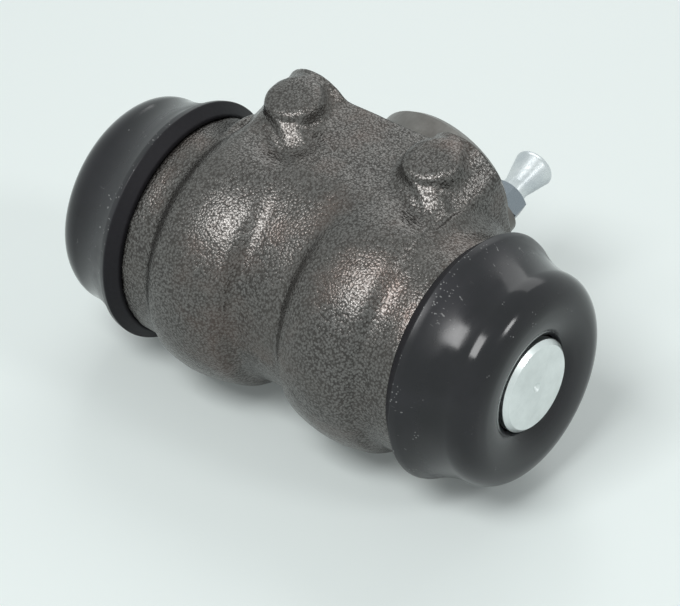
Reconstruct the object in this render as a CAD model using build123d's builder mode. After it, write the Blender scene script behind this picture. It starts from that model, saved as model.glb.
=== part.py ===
from build123d import *

import os
from math import cos, radians, sqrt, tan

# Wheel cylinder of a hydraulic drum brake, as it sits on its backing plate.
# X runs along the bore, +Y out of the mounting face towards the backing plate, and +Z up.
# The origin is the centre of the pilot spigot, in the plane of the mounting face.
# All sizes are in millimetres.

# bore and its place in front of the mounting face
bore_d = 31.75
bore_setback = 24.5
bore_rise = 2.6
bore_chamfer = 0.8

# barrel, one half of its length, mirrored about the middle
waist_r = 20.0
waist_half = 5.2
hump_start_x = 7.4
hump_start_r = 22.8
hump_crest_x = 13.5
hump_crest_r = 24.3
hump_end_x = 22.8
hump_end_r = 23.5
collar_x = 24.5
collar_r = 21.35
body_half_length = 33.6
shoulder_round = 1.6

# groove round each collar for the bead of its dust boot
groove_inset = 2.2
groove_width = 1.5
groove_depth = 1.3

# mounting flange and its four bolt ears
flange_half_width = 25.1
flange_depth = 19.5
flange_draft = 2.0
flange_corner = 3.0
ear_r = 7.3
ear_x = 16.6
ear_z = 21.2
ear_depth = 13.0
ear_draft = 9.0

# web between the upper ears, which runs forward over the barrel and fades into its waist
web_back_height = 21.4
web_front_height = 23.4
web_bulge_r = 28.0

# round pads on the two upper ears
pad_d = 11.0
pad_x = 15.9
pad_setback = 7.1
pad_height = 26.5
pad_base_height = 17.0
pad_flare = 8.0
pad_round = 1.0

# bolt holes, threaded M8
bolt_core_d = 6.8
bolt_hole_depth = 10.5

# pilot spigot, and the lobe on it that holds the bleeder
pilot_d = 29.4
pilot_length = 12.1
pilot_chamfer = 1.2
bleed_x = 9.7
bleed_drop = 6.7
bleed_lobe_r = 4.9

# inlet port, threaded M10 x 1
inlet_x = -7.6
inlet_drop = 0.0
inlet_core_d = 9.0
inlet_depth = 12.0
inlet_seat_d = 13.0
inlet_seat_depth = 0.8
inlet_passage_d = 2.6

# bleed port, threaded M7
bleed_core_d = 6.0
bleed_hole_depth = 12.0
bleed_passage_d = 2.2

# pistons, measured along the bore from the body's end
piston_clearance = 0.035
piston_depth = 15.1
piston_shoulder_depth = 3.1
piston_edge = 0.6
nose_d = 17.9
nose_reach = 14.3
nose_chamfer = 0.8
boot_seat_reach = 9.6
boot_seat_width = 2.6
boot_seat_d = 15.6
centre_mark_d = 2.0
centre_mark_depth = 0.8

# rubber cups
cup_length = 5.6
cup_web = 2.6
cup_lip = 1.5
cup_lip_edge = 0.6
cup_clearance = 0.03
cup_relief = 0.5

# pressed expanders inside the cups
expander_gauge = 0.7
expander_depth = 2.6
expander_gap = 0.05

# return spring
spring_wire = 1.3
spring_mean_d = 17.0
spring_turns = 5.5
spring_gap = 0.05

# rubber dust boots, measured along the bore from the body's end
boot_gap = 0.05
boot_wall = 1.9
boot_mouth_inset = 2.7
boot_stop_r = 20.3
boot_flank_reach = 2.4
boot_rim_inset = 0.3
boot_rim_r = 23.65
boot_rim_land = 0.8
boot_rim_round = 0.5
boot_roll_reach = 9.8
boot_roll_r = 5.2
boot_crest_r = 15.3
boot_dish_reach = 12.6
boot_dish_gap = 0.3
boot_dish_wall = 1.2

# bleeder screw
hex_flats = 7.4
hex_gap = 0.6
hex_length = 4.0
hex_bevel_angle = 30.0
barb_neck_d = 5.1
barb_neck_length = 2.4
barb_cone_length = 5.3
barb_d = 7.9
barb_end_length = 1.4
bleeder_clearance = 0.04
bleeder_tip_d = 2.4
bleeder_bore_d = 2.0
cross_hole_d = 1.6
cross_hole_step = 1.4

# places worked out from the sizes above
bore_r = bore_d / 2
bore_y = -bore_setback
bore_z = bore_rise
bore_centre = (0, bore_y, bore_z)
bore_axis = Axis(bore_centre, (1, 0, 0))
bore_plane = Plane(origin=bore_centre, x_dir=(1, 0, 0), z_dir=(0, 0, 1))
face_plane = Plane(origin=(0, 0, 0), x_dir=(1, 0, 0), z_dir=(0, -1, 0))
groove_x = body_half_length - groove_inset
piston_inner_x = body_half_length - piston_depth
piston_shoulder_x = body_half_length - piston_shoulder_depth
nose_face_x = body_half_length + nose_reach
boot_seat_x = body_half_length + boot_seat_reach
boot_mouth_x = body_half_length - boot_mouth_inset
boot_rim_x = body_half_length - boot_rim_inset
boot_flank_x = body_half_length + boot_flank_reach
boot_roll_x = body_half_length + boot_roll_reach
boot_dish_x = body_half_length + boot_dish_reach
web_back_z = bore_z + web_back_height
web_front_z = bore_z + web_front_height
pad_z = bore_z + pad_height

# the arc that carries the web's top round into the waist, and touches the waist where it ends
bulge_drop = web_bulge_r - web_front_height
bulge_reach = web_bulge_r - waist_r
bulge_shift = sqrt(bulge_reach**2 - bulge_drop**2)
fade_start = (bore_y + bulge_shift, web_front_z)
fade_end = (bore_y - waist_r * bulge_shift / bulge_reach, bore_z + waist_r * bulge_drop / bulge_reach)


def port_plane(x, drop):
    """The upright plane through a port's axis: its X is the radius, and its Y runs out of the port."""
    return Plane(origin=(x, 0, -drop), x_dir=(1, 0, 0), z_dir=(0, 0, 1))


def port_axis(x, drop):
    """The axis of a port, out of the mounting face."""
    return Axis((x, 0, -drop), (0, 1, 0))


def mirrored(piece):
    """The same piece at the other end of the bore."""
    with BuildPart() as twin:
        mirror(piece.part, about=Plane.YZ)
    return twin


bleed_plane = port_plane(bleed_x, bleed_drop)
bleed_axis = port_axis(bleed_x, bleed_drop)
bleed_seat_y = pilot_length - bleed_hole_depth
bleed_seat_length = (bleed_core_d - bleed_passage_d) / 2

# The cast iron body: barrel, flange, ears, web, pads and pilot are one casting.
with BuildPart() as cylinder_body:
    with BuildSketch(bore_plane) as barrel_profile:
        with BuildLine():
            Polyline((0, 0), (0, waist_r), (waist_half, waist_r), (hump_start_x, hump_start_r))
            ThreePointArc(
                (hump_start_x, hump_start_r),
                (hump_crest_x, hump_crest_r),
                (hump_end_x, hump_end_r),
            )
            Polyline(
                (hump_end_x, hump_end_r),
                (collar_x, collar_r),
                (body_half_length, collar_r),
                (body_half_length, 0),
                (0, 0),
            )
        make_face()
        hump_corners = barrel_profile.vertices().filter_by(
            lambda v: v.Y > waist_r - 0.1 and waist_half - 0.1 < v.X < collar_x + 0.1
        )
        fillet(hump_corners, shoulder_round)
    revolve(axis=bore_axis)
    mirror(about=Plane.YZ)

    # flange behind the barrel, drafted towards the front
    with BuildSketch(face_plane):
        with Locations((0, (web_back_z - ear_z) / 2)):
            flange = Rectangle(2 * flange_half_width, web_back_z + ear_z)
        fillet(flange.vertices(), flange_corner)
    extrude(amount=flange_depth, taper=flange_draft)

    # ears on the mounting face, drafted so that they die into the barrel
    with BuildSketch(face_plane):
        with GridLocations(2 * ear_x, 2 * ear_z, 2, 2):
            Circle(ear_r)
    extrude(amount=ear_depth, taper=ear_draft)

    # web: its top rises to the front, then rounds over into the waist
    with BuildSketch(Plane.YZ):
        with BuildLine():
            Polyline(fade_end, (fade_end[0], bore_z), (0, bore_z), (0, web_back_z), fade_start)
            TangentArc(fade_start, fade_end, tangent=(-1, 0))
        make_face()
    extrude(amount=flange_half_width - flange_corner, both=True)

    # pads on the upper ears, on bases that flare downwards
    with BuildSketch(Plane.XY.offset(pad_z)):
        with Locations((pad_x, -pad_setback), (-pad_x, -pad_setback)):
            Circle(pad_d / 2)
    extrude(amount=-(pad_height - pad_base_height), taper=-pad_flare)
    pad_rims = cylinder_body.edges().filter_by(GeomType.CIRCLE).sort_by(Axis.Z)[-2:]
    fillet(pad_rims, pad_round)

    # pilot spigot, and the lobe that carries the bleeder
    with BuildSketch(face_plane):
        Circle(pilot_d / 2)
    extrude(amount=-pilot_length)
    pilot_rim = cylinder_body.edges().filter_by(GeomType.CIRCLE).sort_by(Axis.Y)[-1]
    chamfer(pilot_rim, pilot_chamfer)
    with BuildSketch(face_plane):
        with Locations((bleed_x, -bleed_drop)):
            Circle(bleed_lobe_r)
    extrude(amount=-pilot_length)

    # bore, honed right through and chamfered at both mouths
    with BuildSketch(bore_plane):
        with BuildLine():
            Polyline(
                (0, 0),
                (0, bore_r),
                (body_half_length - bore_chamfer, bore_r),
                (body_half_length, bore_r + bore_chamfer),
                (body_half_length, 0),
                close=True,
            )
        make_face()
        mirror(about=Plane.YZ)
    revolve(axis=bore_axis, mode=Mode.SUBTRACT)

    # grooves for the boots' beads
    with BuildSketch(bore_plane):
        for side in (-1, 1):
            with Locations((side * (groove_x + groove_width / 2), collar_r)):
                Rectangle(groove_width, 2 * groove_depth)
    revolve(axis=bore_axis, mode=Mode.SUBTRACT)

    # blind bolt holes in the ears
    with BuildSketch(face_plane):
        with GridLocations(2 * ear_x, 2 * ear_z, 2, 2):
            Circle(bolt_core_d / 2)
    extrude(amount=bolt_hole_depth, mode=Mode.SUBTRACT)

    # inlet port, with its spot face and the passage to the bore
    with BuildSketch(port_plane(inlet_x, inlet_drop)):
        with BuildLine():
            Polyline(
                (0, pilot_length),
                (inlet_seat_d / 2, pilot_length),
                (inlet_seat_d / 2, pilot_length - inlet_seat_depth),
                (inlet_core_d / 2, pilot_length - inlet_seat_depth),
                (inlet_core_d / 2, pilot_length - inlet_depth),
                (inlet_passage_d / 2, pilot_length - inlet_depth),
                (inlet_passage_d / 2, bore_y),
                (0, bore_y),
                close=True,
            )
        make_face()
    revolve(axis=port_axis(inlet_x, inlet_drop), mode=Mode.SUBTRACT)

    # bleed port, with the cone that the screw closes and the passage to the bore
    with BuildSketch(bleed_plane):
        with BuildLine():
            Polyline(
                (0, pilot_length),
                (bleed_core_d / 2, pilot_length),
                (bleed_core_d / 2, bleed_seat_y),
                (bleed_passage_d / 2, bleed_seat_y - bleed_seat_length),
                (bleed_passage_d / 2, bore_y),
                (0, bore_y),
                close=True,
            )
        make_face()
    revolve(axis=bleed_axis, mode=Mode.SUBTRACT)

# One turned piston at each end, with a nose for the brake shoe and a seat for the boot's lip.
piston_r = bore_r - piston_clearance
nose_r = nose_d / 2
boot_seat_r = boot_seat_d / 2
with BuildPart() as piston_right:
    with BuildSketch(bore_plane):
        with BuildLine():
            Polyline(
                (piston_inner_x, 0),
                (piston_inner_x, piston_r - piston_edge),
                (piston_inner_x + piston_edge, piston_r),
                (piston_shoulder_x - piston_edge, piston_r),
                (piston_shoulder_x, piston_r - piston_edge),
                (piston_shoulder_x, nose_r),
                (boot_seat_x, nose_r),
                (boot_seat_x, boot_seat_r),
                (boot_seat_x + boot_seat_width, boot_seat_r),
                (boot_seat_x + boot_seat_width, nose_r),
                (nose_face_x - nose_chamfer, nose_r),
                (nose_face_x, nose_r - nose_chamfer),
                (nose_face_x, centre_mark_d / 2),
                (nose_face_x - centre_mark_depth, 0),
                close=True,
            )
        make_face()
    revolve(axis=bore_axis)
piston_left = mirrored(piston_right)

# A rubber cup on the inner face of each piston, its lip towards the fluid.
cup_r = bore_r - cup_clearance
cup_inner_x = piston_inner_x - cup_length
cup_web_x = piston_inner_x - cup_web
with BuildPart() as cup_seal_right:
    with BuildSketch(bore_plane):
        with BuildLine():
            Polyline(
                (piston_inner_x, 0),
                (piston_inner_x, cup_r - cup_relief),
                (cup_web_x, cup_r),
                (cup_inner_x + cup_lip_edge, cup_r),
                (cup_inner_x, cup_r - cup_lip_edge),
                (cup_inner_x, cup_r - cup_lip),
                (cup_web_x, cup_r - cup_lip),
                (cup_web_x, 0),
                close=True,
            )
        make_face()
    revolve(axis=bore_axis)
cup_seal_left = mirrored(cup_seal_right)

# A pressed sheet expander holds each cup's lip out, and seats the spring.
expander_r = cup_r - cup_lip - expander_gap
expander_back_x = cup_web_x - expander_gap
expander_face_x = expander_back_x - expander_gauge
expander_mouth_x = expander_back_x - expander_depth
with BuildPart() as cup_expander_right:
    with BuildSketch(bore_plane):
        with BuildLine():
            Polyline(
                (expander_back_x, 0),
                (expander_back_x, expander_r),
                (expander_mouth_x, expander_r),
                (expander_mouth_x, expander_r - expander_gauge),
                (expander_face_x, expander_r - expander_gauge),
                (expander_face_x, 0),
                close=True,
            )
        make_face()
    revolve(axis=bore_axis)
cup_expander_left = mirrored(cup_expander_right)

# The return spring lies between the two expanders.
spring_end_x = expander_face_x - spring_gap - spring_wire / 2
with BuildPart() as return_spring:
    with BuildLine():
        coil = Helix(
            pitch=2 * spring_end_x / spring_turns,
            height=2 * spring_end_x,
            radius=spring_mean_d / 2,
            center=(-spring_end_x, bore_y, bore_z),
            direction=(1, 0, 0),
        )
    with BuildSketch(Plane(origin=coil @ 0, z_dir=coil % 0)):
        Circle(spring_wire / 2)
    sweep(is_frenet=True)

# A rubber dust boot closes each end: its bead sits in the collar's groove, its lip in the piston's.
mouth_r = collar_r + boot_gap
bead_r = collar_r - groove_depth + boot_gap
bead_start_x = groove_x + boot_gap
bead_end_x = groove_x + groove_width - boot_gap
stop_x = body_half_length + boot_gap
lip_r = boot_seat_r + boot_gap
lip_start_x = boot_seat_x + boot_gap
lip_end_x = boot_seat_x + boot_seat_width - boot_gap
roll_centre = (boot_roll_x, boot_crest_r)
roll_inner_r = boot_roll_r - boot_wall
rim_end = (boot_rim_x + boot_rim_land, boot_rim_r)
dish_end = (boot_dish_x, nose_r + boot_dish_gap)
inner_dish_end = (lip_start_x, nose_r + boot_dish_wall)
with BuildPart() as dust_boot_right:
    with BuildSketch(bore_plane):
        with BuildLine():
            # outside: bevelled mouth, rim, neck, roll, and the dish round the piston's nose
            FilletPolyline(
                (boot_mouth_x, mouth_r),
                (boot_rim_x, boot_rim_r),
                rim_end,
                radius=boot_rim_round,
            )
            TangentArc((boot_roll_x, boot_crest_r + boot_roll_r), rim_end, tangent=(-1, 0))
            CenterArc(roll_centre, boot_roll_r, 90, -90)
            TangentArc((boot_roll_x + boot_roll_r, boot_crest_r), dish_end, tangent=(0, -1))
            # lip in the piston's groove
            Polyline(
                dish_end,
                (lip_end_x, nose_r + boot_dish_gap),
                (lip_end_x, lip_r),
                (lip_start_x, lip_r),
                inner_dish_end,
            )
            # inside, one wall further in
            TangentArc((boot_roll_x + roll_inner_r, boot_crest_r), inner_dish_end, tangent=(0, -1))
            CenterArc(roll_centre, roll_inner_r, 90, -90)
            TangentArc(
                (boot_roll_x, boot_crest_r + roll_inner_r),
                (boot_flank_x, boot_stop_r),
                tangent=(-1, 0),
            )
            # stop against the body's end, and the bead in the collar's groove
            Polyline(
                (boot_flank_x, boot_stop_r),
                (stop_x, boot_stop_r),
                (stop_x, mouth_r),
                (bead_end_x, mouth_r),
                (bead_end_x, bead_r),
                (bead_start_x, bead_r),
                (bead_start_x, mouth_r),
                (boot_mouth_x, mouth_r),
            )
        make_face()
    revolve(axis=bore_axis)
dust_boot_left = mirrored(dust_boot_right)

# The bleeder screw: cone tip, threaded shank, hexagon and hose nipple, drilled through.
shank_r = bleed_core_d / 2 - bleeder_clearance
shank_end_y = bleed_seat_y + bleeder_clearance
bleeder_tip_y = shank_end_y - (shank_r - bleeder_tip_d / 2)
hex_back_y = pilot_length + hex_gap
hex_corner_r = hex_flats / 2 / cos(radians(30)) + bleeder_clearance
hex_bevel = (hex_corner_r - hex_flats / 2) * tan(radians(hex_bevel_angle))
neck_end_y = hex_back_y + hex_length + barb_neck_length
barb_y = neck_end_y + barb_cone_length
nipple_end_y = barb_y + barb_end_length
cross_hole_y = shank_end_y + cross_hole_step
with BuildPart() as bleeder_screw:
    with BuildSketch(bleed_plane):
        with BuildLine():
            Polyline(
                (0, bleeder_tip_y),
                (bleeder_tip_d / 2, bleeder_tip_y),
                (shank_r, shank_end_y),
                (shank_r, hex_back_y),
                (barb_neck_d / 2, hex_back_y),
                (barb_neck_d / 2, neck_end_y),
                (barb_d / 2, barb_y),
            )
            CenterArc((barb_d / 2 - barb_end_length, barb_y), barb_end_length, 0, 90)
            Polyline((barb_d / 2 - barb_end_length, nipple_end_y), (0, nipple_end_y), (0, bleeder_tip_y))
        make_face()
    revolve(axis=bleed_axis)
    with BuildSketch(face_plane.offset(-hex_back_y)):
        with Locations((bleed_x, -bleed_drop)):
            RegularPolygon(hex_flats / 2, 6, major_radius=False)
    extrude(amount=-hex_length)

    # the hexagon's corners are bevelled at both of its ends
    with BuildSketch(bleed_plane):
        for end_y, inwards in ((hex_back_y, 1), (hex_back_y + hex_length, -1)):
            with BuildLine():
                Polyline(
                    (hex_flats / 2, end_y),
                    (hex_corner_r, end_y),
                    (hex_corner_r, end_y + inwards * hex_bevel),
                    close=True,
                )
            make_face()
    revolve(axis=bleed_axis, mode=Mode.SUBTRACT)

    # drilled from the nipple down to the cross hole
    with BuildSketch(face_plane.offset(-nipple_end_y)):
        with Locations((bleed_x, -bleed_drop)):
            Circle(bleeder_bore_d / 2)
    extrude(amount=nipple_end_y - cross_hole_y, mode=Mode.SUBTRACT)
    with BuildSketch(Plane(origin=(bleed_x, cross_hole_y, -bleed_drop), x_dir=(1, 0, 0), z_dir=(0, 0, 1))):
        Circle(cross_hole_d / 2)
    extrude(amount=bleed_core_d, both=True, mode=Mode.SUBTRACT)

pieces = {
    "cylinder_body": cylinder_body,
    "piston_left": piston_left,
    "piston_right": piston_right,
    "cup_seal_left": cup_seal_left,
    "cup_seal_right": cup_seal_right,
    "cup_expander_left": cup_expander_left,
    "cup_expander_right": cup_expander_right,
    "return_spring": return_spring,
    "dust_boot_left": dust_boot_left,
    "dust_boot_right": dust_boot_right,
    "bleeder_screw": bleeder_screw,
}
os.makedirs("parts", exist_ok=True)
for name, piece in pieces.items():
    piece.part.label = name
    export_step(piece.part, f"parts/{name}.step")
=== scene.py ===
# %% [markdown]
# # A wheel cylinder for a drum brake
# The real object is an iron casting with a bore right through it. A piston sits in each end of the bore,
# and a rubber boot keeps the dust out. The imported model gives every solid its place, so this lesson adds
# what a solid can't show: cast skin, rubber, turned metal, threads, and the light of a small studio.
# All sizes are in metres. X runs along the bore, Y out of the mounting face, and Z up.

import math

import bmesh
import bpy
from mathutils import Matrix, Vector


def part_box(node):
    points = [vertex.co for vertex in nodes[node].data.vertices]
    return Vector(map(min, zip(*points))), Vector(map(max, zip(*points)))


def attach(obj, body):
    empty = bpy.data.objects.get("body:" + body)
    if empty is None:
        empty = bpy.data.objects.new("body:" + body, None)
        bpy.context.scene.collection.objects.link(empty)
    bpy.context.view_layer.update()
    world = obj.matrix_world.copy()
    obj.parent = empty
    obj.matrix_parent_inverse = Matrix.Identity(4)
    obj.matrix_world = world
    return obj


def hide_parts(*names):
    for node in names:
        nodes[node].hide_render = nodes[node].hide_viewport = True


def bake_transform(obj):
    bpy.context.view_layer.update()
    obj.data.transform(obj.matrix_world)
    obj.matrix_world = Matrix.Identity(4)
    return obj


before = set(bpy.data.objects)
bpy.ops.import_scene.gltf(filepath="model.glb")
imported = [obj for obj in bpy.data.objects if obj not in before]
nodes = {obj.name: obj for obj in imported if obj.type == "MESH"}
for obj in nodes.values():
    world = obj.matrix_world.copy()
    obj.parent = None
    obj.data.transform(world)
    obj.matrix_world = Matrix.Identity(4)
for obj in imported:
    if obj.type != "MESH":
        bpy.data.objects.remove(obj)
scene = bpy.context.scene
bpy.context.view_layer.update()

# %% [markdown]
# The bore's axis is the line that most pieces share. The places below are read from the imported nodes
# where that is possible, so that a piece made here still fits when the model is packed again.

# %% Sizes that the pieces share
mm = 0.001
piston_low, piston_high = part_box("piston_right")
bore = Vector((0.0, (piston_low.y + piston_high.y) / 2, (piston_low.z + piston_high.z) / 2))
bore_r = 15.875 * mm
_, body_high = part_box("cylinder_body")
body_end = body_high.x
bleed = Vector((9.7 * mm, 0.0, -6.7 * mm))
print("bore axis at y", round(bore.y / mm, 2), "and z", round(bore.z / mm, 2), "mm")
print("the body ends at x", round(body_end / mm, 2), "mm")

# %% [markdown]
# ## A few helpers
# A material is a small graph of nodes. Writing each node out takes many lines, so one helper adds a node
# and joins its inputs, and the finishes below read like recipes.


# %% Helpers for materials
def new_material(name, color, roughness, metallic=0.0):
    """A material with its shader set to plain values, and the graph to build on."""
    material = bpy.data.materials.new(name)
    material.use_nodes = True
    graph = material.node_tree
    shader = graph.nodes["Principled BSDF"]
    shader.inputs["Base Color"].default_value = (*color, 1.0)
    shader.inputs["Roughness"].default_value = roughness
    shader.inputs["Metallic"].default_value = metallic
    return material, graph, shader


def add(graph, kind, values=None, **settings):
    """Adds a node, sets its properties, and fills its inputs with numbers or with another node's output."""
    node = graph.nodes.new(kind)
    for key, value in settings.items():
        setattr(node, key, value)
    for key, value in (values or {}).items():
        if isinstance(value, bpy.types.NodeSocket):
            graph.links.new(value, node.inputs[key])
        else:
            node.inputs[key].default_value = value
    return node


def where(graph, turn=(0.0, 0.0, 0.0), stretch=(1.0, 1.0, 1.0), shift=(0.0, 0.0, 0.0)):
    """The point on the object, moved, turned or stretched before a pattern reads it."""
    spot = add(graph, "ShaderNodeTexCoord").outputs["Object"]
    values = {"Vector": spot, "Rotation": turn, "Scale": stretch, "Location": shift}
    return add(graph, "ShaderNodeMapping", values).outputs["Vector"]


def noise(graph, spot, scale, detail=2.0, roughness=0.5):
    """A cloudy pattern between 0 and 1. Scale counts its features in one metre."""
    values = {"Vector": spot, "Scale": scale, "Detail": detail, "Roughness": roughness}
    return add(graph, "ShaderNodeTexNoise", values).outputs["Fac"]


def ramp(graph, value, low, high, start=0.0, end=1.0):
    """Stretches the part of a pattern between low and high over start to end."""
    values = {"Value": value, "From Min": low, "From Max": high, "To Min": start, "To Max": end}
    return add(graph, "ShaderNodeMapRange", values, clamp=True).outputs["Result"]


def sum_of(graph, first, second, operation="ADD"):
    """Two numbers added, or joined in the way that operation says."""
    return add(graph, "ShaderNodeMath", {0: first, 1: second}, operation=operation).outputs[0]


def mix_color(graph, factor, first, second):
    """One colour turning into another."""
    node = add(graph, "ShaderNodeMix", data_type="RGBA")
    for key, value in ((0, factor), (6, first), (7, second)):
        if isinstance(value, bpy.types.NodeSocket):
            graph.links.new(value, node.inputs[key])
        else:
            node.inputs[key].default_value = value if key == 0 else (*value, 1.0)
    return node.outputs[2]


def relief(graph, shader, height, depth, before=None):
    """Presses a pattern into the surface as fine relief, depth metres deep."""
    values = {"Height": height, "Distance": depth, "Strength": 1.0}
    if before:
        values["Normal"] = before
    normal = add(graph, "ShaderNodeBump", values).outputs["Normal"]
    graph.links.new(normal, shader.inputs["Normal"])
    return normal


# %% [markdown]
# ## Cast iron
# Iron poured into a sand mould keeps the print of the grains, so its skin is a field of tiny domes and
# pits about half a millimetre across. They lean only some eight degrees either way, so the skin is calm
# where it turns away from the lamps, and breaks into sparks where it nearly faces one. The cells of a
# Voronoi pattern give the domes and noise breaks them up. Relief this shallow has to be written in
# hundredths of a millimetre, and the metal under it is fairly smooth. The low places between the domes are
# darker, and slow noises add dull patches and a breath of rust.

# %% Finish: cast skin
cast_skin, graph, shader = new_material("cast_skin", (0.10, 0.09, 0.083), 0.36, 0.85)
spot = where(graph)
grain = noise(graph, spot, 2100.0, detail=2.5, roughness=0.6)
fine = noise(graph, spot, 4600.0, detail=2.0, roughness=0.6)
values = {"Vector": spot, "Scale": 2250.0, "Smoothness": 0.30, "Randomness": 1.0}
cell = add(graph, "ShaderNodeTexVoronoi", values, feature="SMOOTH_F1").outputs["Distance"]
dome = sum_of(graph, 1.0, sum_of(graph, cell, cell, "MULTIPLY"), "SUBTRACT")
sand = sum_of(graph, dome, sum_of(graph, grain, 0.9, "MULTIPLY"))
patches = noise(graph, spot, 70.0, detail=4.0, roughness=0.55)
rust = ramp(graph, noise(graph, where(graph, shift=(0.013, 0.0, 0.004)), 80.0, detail=3.0), 0.52, 0.70)
pits = ramp(graph, sand, 1.00, 1.42)
iron = mix_color(graph, pits, (0.062, 0.057, 0.054), (0.172, 0.165, 0.159))
iron = mix_color(graph, ramp(graph, patches, 0.35, 0.7, 0.0, 0.35), iron, (0.125, 0.112, 0.103))
iron = mix_color(graph, sum_of(graph, rust, 0.27, "MULTIPLY"), iron, (0.150, 0.098, 0.080))
graph.links.new(iron, shader.inputs["Base Color"])
graph.links.new(ramp(graph, fine, 0.3, 0.7, 0.21, 0.33), shader.inputs["Roughness"])
bumps = relief(graph, shader, sand, 0.00008)
relief(graph, shader, fine, 0.00003, bumps)
print("made", cast_skin.name)

# %% [markdown]
# ## Machined iron
# The mounting face, the pilot, the ports and the bore are cut after casting. A cutter leaves fine rings or
# lines, and the fresh iron is a lighter, warmer grey. A noise stretched far along one direction gives those
# lines: on round work they follow the turning, and here they run across the face as a mill leaves them.

# %% Finish: machined iron
machined_iron, graph, shader = new_material("machined_iron", (0.30, 0.285, 0.27), 0.40, 0.9)
lines = noise(graph, where(graph, stretch=(1.0, 0.05, 0.08)), 5200.0, detail=2.0)
stain = noise(graph, where(graph), 110.0, detail=4.0, roughness=0.6)
milled = mix_color(graph, ramp(graph, stain, 0.32, 0.70), (0.130, 0.120, 0.112), (0.255, 0.243, 0.232))
graph.links.new(milled, shader.inputs["Base Color"])
graph.links.new(ramp(graph, lines, 0.3, 0.7, 0.30, 0.50), shader.inputs["Roughness"])
relief(graph, shader, lines, 0.000012)
print("made", machined_iron.name)

# %% [markdown]
# ## Moulded rubber
# A boot comes out of a steel mould, so it is smooth, and glossy in the neck and on the roll, where nothing
# rubs. The flank by the mouth is what hands and boxes touch: it is duller, with fine scratches and dust,
# and most of the dust lies along the rim. Dust is a scatter of pale specks: cells of a Voronoi pattern, kept
# only close to their centres and only where a wider noise allows them. A scratch is a noise stretched so
# far that it turns to lines, with only its highest part kept.

# %% Finish: moulded rubber
boot_rubber, graph, shader = new_material("moulded_rubber", (0.014, 0.014, 0.016), 0.24)
shader.inputs["Specular IOR Level"].default_value = 0.42
spot = where(graph)
along = add(graph, "ShaderNodeSeparateXYZ", {"Vector": spot}).outputs["X"]
along = sum_of(graph, along, 0.0, "ABSOLUTE")
rim_start, rim_end, flank_end = 0.0340, 0.0365, 0.0405
flank = ramp(graph, along, rim_end, flank_end, 1.0, 0.0)
rim = ramp(graph, along, rim_start, rim_end, 1.0, 0.0)
bloom = noise(graph, spot, 90.0, detail=3.0, roughness=0.55)
wiped = where(graph, turn=(0.5, 0.2, 0.9), stretch=(1.0, 0.25, 1.0))
smear = noise(graph, wiped, 420.0, detail=4.0, roughness=0.65)
values = {"Vector": spot, "Scale": 1500.0, "Randomness": 1.0}
cell = add(graph, "ShaderNodeTexVoronoi", values, feature="F1").outputs["Distance"]
speck = ramp(graph, cell, 0.14, 0.26, 1.0, 0.0)
cover = sum_of(graph, noise(graph, spot, 260.0, detail=2.0), sum_of(graph, rim, 0.19, "MULTIPLY"))
dust = sum_of(graph, speck, ramp(graph, cover, 0.67, 0.73), "MULTIPLY")
lines = noise(graph, where(graph, turn=(0.9, 0.5, 0.3), stretch=(0.06, 1.0, 1.0)), 1900.0, detail=1.0)
scratch = sum_of(graph, ramp(graph, lines, 0.70, 0.74), ramp(graph, bloom, 0.50, 0.58), "MULTIPLY")
marks = sum_of(graph, dust, sum_of(graph, scratch, flank, "MULTIPLY"), "MAXIMUM")
black = mix_color(graph, ramp(graph, bloom, 0.35, 0.7), (0.006, 0.006, 0.008), (0.014, 0.013, 0.017))
black = mix_color(graph, sum_of(graph, marks, 0.6, "MULTIPLY"), black, (0.34, 0.34, 0.34))
graph.links.new(black, shader.inputs["Base Color"])
worn = ramp(graph, sum_of(graph, bloom, smear), 0.75, 1.25, 0.0, 0.12)
gloss = sum_of(graph, sum_of(graph, flank, 0.20, "MULTIPLY"), sum_of(graph, worn, 0.09))
graph.links.new(gloss, shader.inputs["Roughness"])
relief(graph, shader, sum_of(graph, smear, marks), 0.000010)
print("made", boot_rubber.name)

# %% [markdown]
# The bevel inside a boot's mouth comes off the core of the mould, which is left rough. It is also turned
# towards the dark iron. So it reads as a dead black line between the boot and the casting, and it gets a
# finish of its own: the same rubber, with hardly any gloss.

# %% Finish: the rough bevel of the mouth
mouth_rubber, graph, shader = new_material("mouth_rubber", (0.008, 0.007, 0.010), 0.60)
shader.inputs["Specular IOR Level"].default_value = 0.25
core_marks = noise(graph, where(graph), 1300.0, detail=3.0)
black = mix_color(graph, core_marks, (0.006, 0.005, 0.007), (0.012, 0.011, 0.014))
graph.links.new(black, shader.inputs["Base Color"])
relief(graph, shader, core_marks, 0.00003)
print("made", mouth_rubber.name)

# %% [markdown]
# ## Turned and plated metal
# One recipe serves four metals: a slow noise for the tone, and a fine noise, stretched one way, for the marks
# of the tool. The pistons are turned bar, so theirs are fine along the bore and drawn out across it. Pressed
# steel has a rolled grain, and the spring's wire is darker. The bleeder screw is zinc plated: its turned cone
# is bright, and the hexagon and shank below it are a duller and bluer grey.


# %% Finish: turned, pressed, drawn and plated metal
def metal(name, dark, light, rough, stretch, marks, depth):
    """A metal whose tone and gloss drift a little, with fine marks in one direction."""
    material, graph, shader = new_material(name, light, rough[0], 1.0)
    clouds = noise(graph, where(graph), 160.0, detail=4.0, roughness=0.6)
    tone = mix_color(graph, ramp(graph, clouds, 0.3, 0.7), dark, light)
    graph.links.new(tone, shader.inputs["Base Color"])
    lines = noise(graph, where(graph, stretch=stretch), marks, detail=3.0, roughness=0.6)
    graph.links.new(ramp(graph, lines, 0.3, 0.7, rough[0], rough[1]), shader.inputs["Roughness"])
    relief(graph, shader, lines, depth)
    print("made", name)
    return material


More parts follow.
